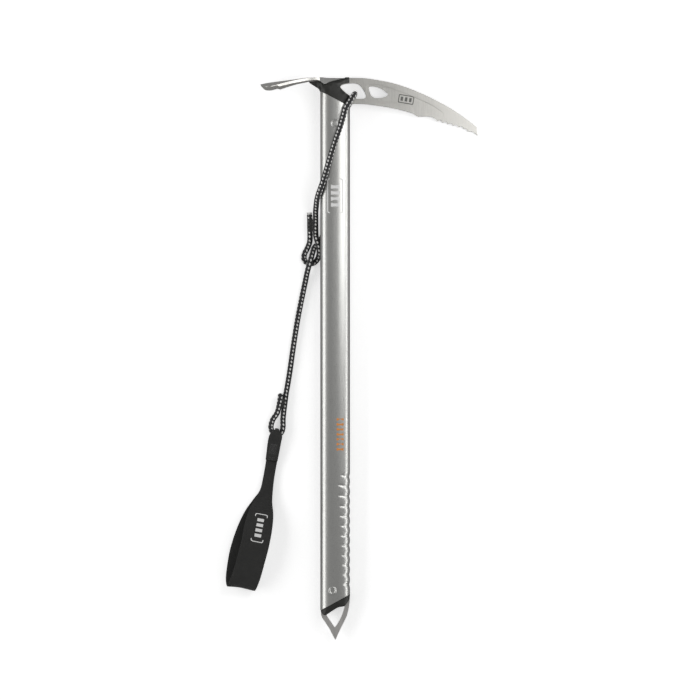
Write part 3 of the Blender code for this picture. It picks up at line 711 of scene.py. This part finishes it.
def fleck_attribute(ob, values):
    """Tells the braid's material how white each point is."""
    ob.data.attributes.new("fleck", "FLOAT", "POINT").data.foreach_set("value", values.astype(np.float32))


leash_verts, leash_faces, flecks, centre = leash_mesh()
flecks[:2 * BRAID_SIDES] = 1.0
leash = piece("leash_cord_braid", leash_verts.tolist(), leash_faces, BRAID, "axe", "cord", ["leash_cord"])
fleck_attribute(leash, flecks)


def frayed_end(start, away, count=26, length=2.2):
    """Short pale fibres standing out of a cut end."""
    rng = np.random.default_rng(5)
    away = Vector(away).normalized()
    side = away.cross(Vector((0, 0, 1))).normalized()
    over = away.cross(side)
    parts = []
    for _ in range(count):
        angle, r = rng.uniform(0, 2 * pi), 2.1 * rng.uniform(0, 1) ** 0.5
        out = side * cos(angle) + over * sin(angle)
        root = Vector(start) + out * r - away * 0.6
        tip = root + away * length * rng.uniform(0.6, 1.1) + out * rng.uniform(0.0, 0.9) * (r / 2)
        parts.append(tube([root, (root + tip) / 2 + out * 0.1, tip], 0.28, 6))
    return joined(parts)


fray = piece("leash_cut_end", *frayed_end(centre[0], centre[0] - centre[12]), BRAID, "axe", "cord")
fleck_attribute(fray, np.ones(len(fray.data.vertices)))

# ---------------------------------------------------------------- stitching on the cord

THREAD_R = 0.36
STITCH_PITCH = 0.62


def stitches(start, end, side, low, high, over):
    """Close zigzag of thread over two cords that lie side by side, between across = low and high (mm)."""
    start, end, side = Vector(start), Vector(end), Vector(side)
    along = (end - start).normalized()
    side = side - along * side.dot(along)
    half_apart = side.length / 2
    across = side.normalized()
    up = across.cross(along) * over
    rows = ceil((end - start).length / STITCH_PITCH)
    line = []
    for j in range(rows):
        steps = np.linspace(low, high, 12)
        for i, a in enumerate(steps if j % 2 == 0 else steps[::-1]):
            off = min(abs(a - half_apart), abs(a + half_apart))
            rise = (max(0.0, 1 - (off / (CORD_D / 2 + 0.2)) ** 2)) ** 0.5 * (CORD_D / 2)
            rise = max(rise, CORD_D / 2 * 0.72) if abs(a) < half_apart else rise
            dip = 0.9 * (1 - min(1.0, min(abs(a - low), abs(a - high)) / 0.9))
            spot = start + along * (j + i / len(steps)) * STITCH_PITCH + across * a
            line.append(spot + up * (rise + 0.12 - dip))
    return tube(line, THREAD_R, 6)


UPPER_PAIR = (above(-24.05, 436.0, 7.4), above(-24.1, 449, 8.0), Vector((6.2, 0, 1.4)))
LOWER_PAIR = (above(-57.6, 247.5, 6.2), above(-56.2, 256.3, 6.5), Vector((5.8, 0, -3.0)))
upper_stitches = piece("upper_stitches", *joined([stitches(*UPPER_PAIR, -5.2, 1.6, s) for s in (-1, 1)]),
                       THREAD, "axe", "thread", ["upper_stitching"])
lower_stitches = piece("lower_stitches", *joined([stitches(*LOWER_PAIR, -3.0, 3.0, s) for s in (-1, 1)]),
                       THREAD, "axe", "thread", ["lower_stitching"])

# ---------------------------------------------------------------- wrist strap

STRAP_LINE = Vector((0.975, -0.21, 0.0))
TABLE_NORMAL = Vector((ACROSS.z, UP.z, NORMAL.z))
STRAP_ACROSS = (STRAP_LINE - TABLE_NORMAL * STRAP_LINE.dot(TABLE_NORMAL)).normalized()

EYE_FOLD = [(-68.2, 191, 6.9, 13.0, 0), (-66.6, 201, 6.9, 13.8, 0), (-65.0, 211, 7.6, 14.4, 0),
            (-63.7, 217, 9.7, 13.6, 0), (-62.9, 221, 10.3, 10, 0), (-62.5, 223.3, 9.7, 5.1, 0),
            (-62.4, 224.3, 8.0, 4.1, 0), (-62.4, 224.6, 5.5, 4.1, 0), (-62.4, 224.3, 3.0, 4.1, 0),
            (-62.5, 223.3, 1.5, 5.1, 0), (-62.9, 221, 1.0, 10, 0), (-63.4, 217, 1.0, 13.4, 0),
            (-64.8, 211, 1.0, 13.6, 0), (-68.0, 191, 1.0, 12.2, 0)]
BAND = [(-65.4, 206, 3.0, 11.8, 0), (-67.7, 193, 3.0, 12, 0), (-71.4, 172, 2.6, 12, 0),
        (-74.2, 157, 2.2, 14, 2), (-78.4, 145, 2.9, 21, 6), (-84.0, 131, 3.8, 28, 9),
        (-91.4, 113, 4.1, 30, 10), (-98.2, 92, 4.1, 30, 10), (-101.9, 70, 4.6, 30, 10),
        (-102.1, 60, 6.0, 30, 10), (-100.7, 55.6, 10.2, 30, 10), (-98.6, 58.5, 14.6, 30, 10),
        (-94.4, 69, 16.8, 30, 10), (-89.6, 86, 18.6, 30, 10), (-85.4, 102, 18.8, 30, 10),
        (-82.2, 119, 17.0, 30, 9), (-79.4, 134, 13.2, 27, 7), (-76.9, 146, 9.0, 20, 4),
        (-73.8, 157, 6.2, 14, 1), (-71.3, 172, 5.0, 12, 0), (-67.7, 193, 4.9, 12, 0),
        (-65.4, 206, 4.9, 11.8, 0)]
WEB_SIDES = 44


class Ribbon:
    """Webbing through stations (u, v, height, width, tilt in degrees)."""

    def __init__(self, stations, thick, step=0.8):
        spots = [(*above(u, v, h), width, tilt) for u, v, h, width, tilt in stations]
        self.rows, self.at = evenly([tuple(p) for p in spline_any(spots, 8)], step)
        self.centre = self.rows[:, :3]
        self.width, self.thick = self.rows[:, 3], thick
        run = np.gradient(self.centre, axis=0)
        run /= np.linalg.norm(run, axis=1)[:, None]
        tilt = self.rows[:, 4] * pi / 180
        normal = np.array(TABLE_NORMAL)
        level = np.outer(np.cos(tilt), np.array(STRAP_ACROSS)) - np.outer(np.sin(tilt), normal)
        level -= run * np.sum(level * run, axis=1)[:, None]
        self.level = level / np.linalg.norm(level, axis=1)[:, None]
        self.face = np.cross(run, self.level)

    def point(self, i, across, lift):
        """The point of row i that is across from its middle and lift above its face."""
        return self.centre[i] + self.level[i] * across + self.face[i] * lift

    def outside(self, run, across, lift):
        """The point at run millimetres along and lift over the loop's outer side."""
        values = [np.array([np.interp(run, self.at, rows[:, k]) for k in range(3)])
                  for rows in (self.centre, self.level, self.face)]
        return values[0] + values[1] * across - values[2] * (self.thick / 2 + lift)

    def mesh(self, crease=None):
        """Rows of rounded sections. crease(row point, across) gives extra height, in mm."""
        verts, uvs = [], []
        section = [(cos(2 * pi * k / WEB_SIDES), sin(2 * pi * k / WEB_SIDES)) for k in range(WEB_SIDES)]
        for i in range(len(self.at)):
            for c, s in section:
                across = (abs(c) ** 0.32) * (1 if c > 0 else -1) * self.width[i] / 2
                lift = (abs(s) ** 0.6) * (1 if s > 0 else -1) * self.thick / 2
                if crease:
                    lift += crease(self.centre[i], across)
                verts.append(tuple(self.point(i, across, lift)))
                uvs.append((self.at[i], across))
        return verts, ring_faces(len(self.at), WEB_SIDES), uvs


def spline_any(rows, per):
    """Catmull-Rom through rows of any number of values."""
    rows = np.array(rows, float)
    rows = np.vstack([rows[0] * 2 - rows[1], rows, rows[-1] * 2 - rows[-2]])
    out = []
    for a, b, c, d in zip(rows, rows[1:], rows[2:], rows[3:]):
        for t in np.arange(per) / per:
            cubic = (b * 3 - a - c * 3 + d) * t**3
            out.append(0.5 * (b * 2 + (c - a) * t + (a * 2 - b * 5 + c * 4 - d) * t**2 + cubic))
    return [*out, rows[-2]]


def ribbon(name, strip, look, node, crease=None):
    """The strip as a piece, with coordinates for its weave."""
    verts, faces, uvs = strip.mesh(crease)
    ob = piece(name, verts, faces, look, "wrist_strap", "webbing", [node])
    layer = ob.data.uv_layers.new(name="weave")
    for loop in ob.data.loops:
        layer.data[loop.index].uv = uvs[loop.vertex_index]
    return ob


def gathers(centre, across):
    """Small folds where the band narrows to its neck."""
    v = centre[1]
    window = smooth_step(128, 138, v) * (1 - smooth_step(150, 160, v))
    return 0.22 * window * sin((v - 0.02 * (across - 3) ** 2) * 2 * pi / 3.1)


eye_strip = Ribbon(EYE_FOLD, WEB_T)
band_strip = Ribbon(BAND, BAND_T)
eye = ribbon("strap_webbing_fold", eye_strip, WEBBING, "strap_webbing")
band = ribbon("wrist_band_strip", band_strip, BAND_WEAVE, "wrist_band", gathers)


# (lowest v, highest v, half width, pitch) of the dense patch of thread and of the bars below it
TACK_PATCHES = ((197.6, 209.2, 4.5, 0.62), (191.6, 195.4, 4.0, 1.3))


def strap_tack():
    """Rows of thread that sew the strap's layers together."""
    parts = []
    for low, high, half, pitch in TACK_PATCHES:
        runs = [run for run, centre in zip(eye_strip.at, eye_strip.centre) if low < centre[1] < high]
        top = [run for run in runs if run < eye_strip.at[-1] / 2]
        for run in np.arange(top[0], top[-1], pitch):
            dips = [0.08 - 0.5 * (abs(a) > half - 0.2) for a in np.linspace(-half, half, 11)]
            line = [eye_strip.outside(run, a, dip) for a, dip in zip(np.linspace(-half, half, 11), dips)]
            parts.append(tube(line, 0.27, 6))
    return joined(parts)


piece("strap_tack_threads", *strap_tack(), THREAD, "wrist_strap", "thread", ["strap_bartack"])

# ---------------------------------------------------------------- printed and etched marks, all of them plain


def rounded(cx, cy, half_x, half_y, r, steps=5):
    """Outline of a rectangle with round corners."""
    out = []
    for k, (sx, sy) in enumerate(((1, 1), (-1, 1), (-1, -1), (1, -1))):
        for j in range(steps + 1):
            t = (k + j / steps) * pi / 2
            x = sx * (half_x - r) + r * cos(t)
            y = sy * (half_y - r) + r * sin(t)
            out.append((cx + x, cy + y))
    return out


def marks(name, shapes, look, body, slot, place, spacing=1.2, lift=0.07):
    """Thin printed shapes, each (outline, holes), on the surface that place gives."""
    parts = [sheet_mesh(outline, holes, spacing, place, lambda x, y: lift, lambda x, y: -0.15)
             for outline, holes in shapes]
    return piece(name, *joined(parts), look, body, slot, sharp=30)


def on_front(u, v, lift):
    """The point that is lift over the front of the shaft."""
    return (u, v, oval_w(u) + lift)


BADGE = (0.1, 473.5)
badge_bars = [(rounded(BADGE[0], BADGE[1] + y, 4.6, 2.1, 0.4), []) for y in (-9.6, -3.2, 3.2, 9.6)]
badge_frame = (rounded(*BADGE, 8.6, 18.6, 2.4), [rounded(*BADGE, 7.5, 17.5, 1.6)])
marks("shaft_badge", [badge_frame, *badge_bars], WHITE_INK, "axe", "shaft", on_front)
ORANGE_U, ORANGE_V, ORANGE_PITCH, ORANGE_COUNT = 5.3, 203.6, 5.3, 7
orange_bars = [(rounded(ORANGE_U, ORANGE_V + ORANGE_PITCH * k, 3.7, 1.35, 0.3), [])
               for k in range(ORANGE_COUNT)]
marks("shaft_orange_bars", orange_bars, ORANGE_INK, "axe", "shaft", on_front)

LABEL_V, LABEL_ACROSS = 120.0, 1.0
upper_runs = [run for run, centre in zip(band_strip.at, band_strip.centre)
              if run > band_strip.at[-1] / 2 and centre[1] < LABEL_V]
LABEL_RUN = upper_runs[-1]


def on_band(across, run, lift):
    """The point over the band's outer side, counted from the label's middle."""
    return tuple(band_strip.outside(LABEL_RUN + run, LABEL_ACROSS + across, lift))


label_frame = (rounded(0, 0, 6.8, 15.6, 2.0), [rounded(0, 0, 5.9, 14.7, 1.4)])
label_bars = [(rounded(0, y, 3.6, 1.7, 0.3), []) for y in (-8.4, -2.8, 2.8, 8.4)]
marks("strap_label", [label_frame, *label_bars], WHITE_INK, "wrist_strap", "webbing", on_band, lift=0.12)
etched_frame = (rounded(0, 0, 8.4, 4.6, 1.2), [rounded(0, 0, 7.4, 3.6, 0.7)])
etched_bars = [(rounded(x, 0, 1.3, 2.2, 0.2), []) for x in (-4.6, 0, 4.6)]
ETCH_UV, ETCH_TURN = (75.7, 576.6), -0.17


def on_pocket(x, y, lift):
    """The point over the floor of the pick's pocket, turned with the mark."""
    c, s = cos(ETCH_TURN), sin(ETCH_TURN)
    return (ETCH_UV[0] + x * c - y * s, ETCH_UV[1] + x * s + y * c, PICK_HALF - POCKET_DEPTH + lift)


marks("pick_stamp", [etched_frame, *etched_bars], ETCH, "axe", "head_steel", on_pocket, spacing=3, lift=0.03)

# ---------------------------------------------------------------- every eighth point of the cord's centre in the world, a list that is not kept

[tuple(world(p)) for p in centre[::8]]

# ---------------------------------------------------------------- floor, light and camera

FLOOR_HALF = 6.0
FLOOR_GLOW = 0.52
SKY_LIGHT = 0.27
floor_mesh = bpy.data.meshes.new("floor")
corners = [(-FLOOR_HALF, -FLOOR_HALF, 0), (FLOOR_HALF, -FLOOR_HALF, 0), (FLOOR_HALF, FLOOR_HALF, 0),
           (-FLOOR_HALF, FLOOR_HALF, 0)]
floor_mesh.from_pydata(corners, [], [(0, 1, 2, 3)])
floor = bpy.data.objects.new("floor", floor_mesh)
bpy.context.collection.objects.link(floor)


def floor_look():
    """Pale floor with a glow that only the camera sees; every other ray meets a plain grey one."""
    look = Look("pale floor", (0.9, 0.9, 0.9), 0.9, Specular_IOR_Level=0.0)
    look.set("Emission Color", (1, 1, 1, 1))
    look.set("Emission Strength", FLOOR_GLOW)
    dim = look.node("ShaderNodeBsdfDiffuse", {"Color": (0.45, 0.45, 0.45, 1)})
    seen = look.node("ShaderNodeLightPath")
    mixed = look.tree.nodes.new("ShaderNodeMixShader")
    look.tree.links.new(seen, mixed.inputs[0])
    look.tree.links.new(dim, mixed.inputs[1])
    look.tree.links.new(look.shader.outputs[0], mixed.inputs[2])
    look.tree.links.new(mixed.outputs[0], look.tree.nodes["Material Output"].inputs["Surface"])
    return look.mat


floor_mesh.materials.append(floor_look())

sky = bpy.data.worlds.new("studio")
sky.use_nodes = True
sky.node_tree.nodes["Background"].inputs["Color"].default_value = (1, 1, 1, 1)
sky.node_tree.nodes["Background"].inputs["Strength"].default_value = SKY_LIGHT
bpy.context.scene.world = sky
bpy.context.scene.view_settings.view_transform = "Standard"


def softbox(name, where, aim, size, power):
    """Area light at where, facing aim, both in metres."""
    light = bpy.data.lights.new(name, "AREA")
    light.shape, light.size, light.size_y = "RECTANGLE", *size
    light.energy = power
    ob = bpy.data.objects.new(name, light)
    bpy.context.collection.objects.link(ob)
    ob.location = where
    ob.rotation_euler = (Vector(aim) - Vector(where)).to_track_quat("-Z", "Y").to_euler()
    ob.visible_camera = False
    return ob


softbox("left softbox", (-1.45, 0.0, 0.9), (-0.04, 0, 0), (2.8, 0.8), 14)
softbox("right softbox", (1.6, 0.0, 0.42), (-0.04, 0, 0), (2.8, 0.5), 10)
softbox("tip softbox", (0.42, 0.25, 0.55), (0.15, 0.25, 0), (0.4, 0.5), 1.6)

VIEW_CENTRE = (15.85, 309.3, 0.0)
VIEW_WIDTH = 0.747
LENS, SENSOR = 200.0, 36.0

camera_data = bpy.data.cameras.new("camera")
camera_data.lens, camera_data.sensor_width = LENS, SENSOR
camera_data.clip_end = 50
camera = bpy.data.objects.new("camera", camera_data)
bpy.context.collection.objects.link(camera)
turned = Matrix((ACROSS, UP, NORMAL)).transposed().to_4x4()
camera.matrix_world = Matrix.Translation(world(VIEW_CENTRE) + NORMAL * VIEW_WIDTH * LENS / SENSOR) @ turned
bpy.context.scene.camera = camera
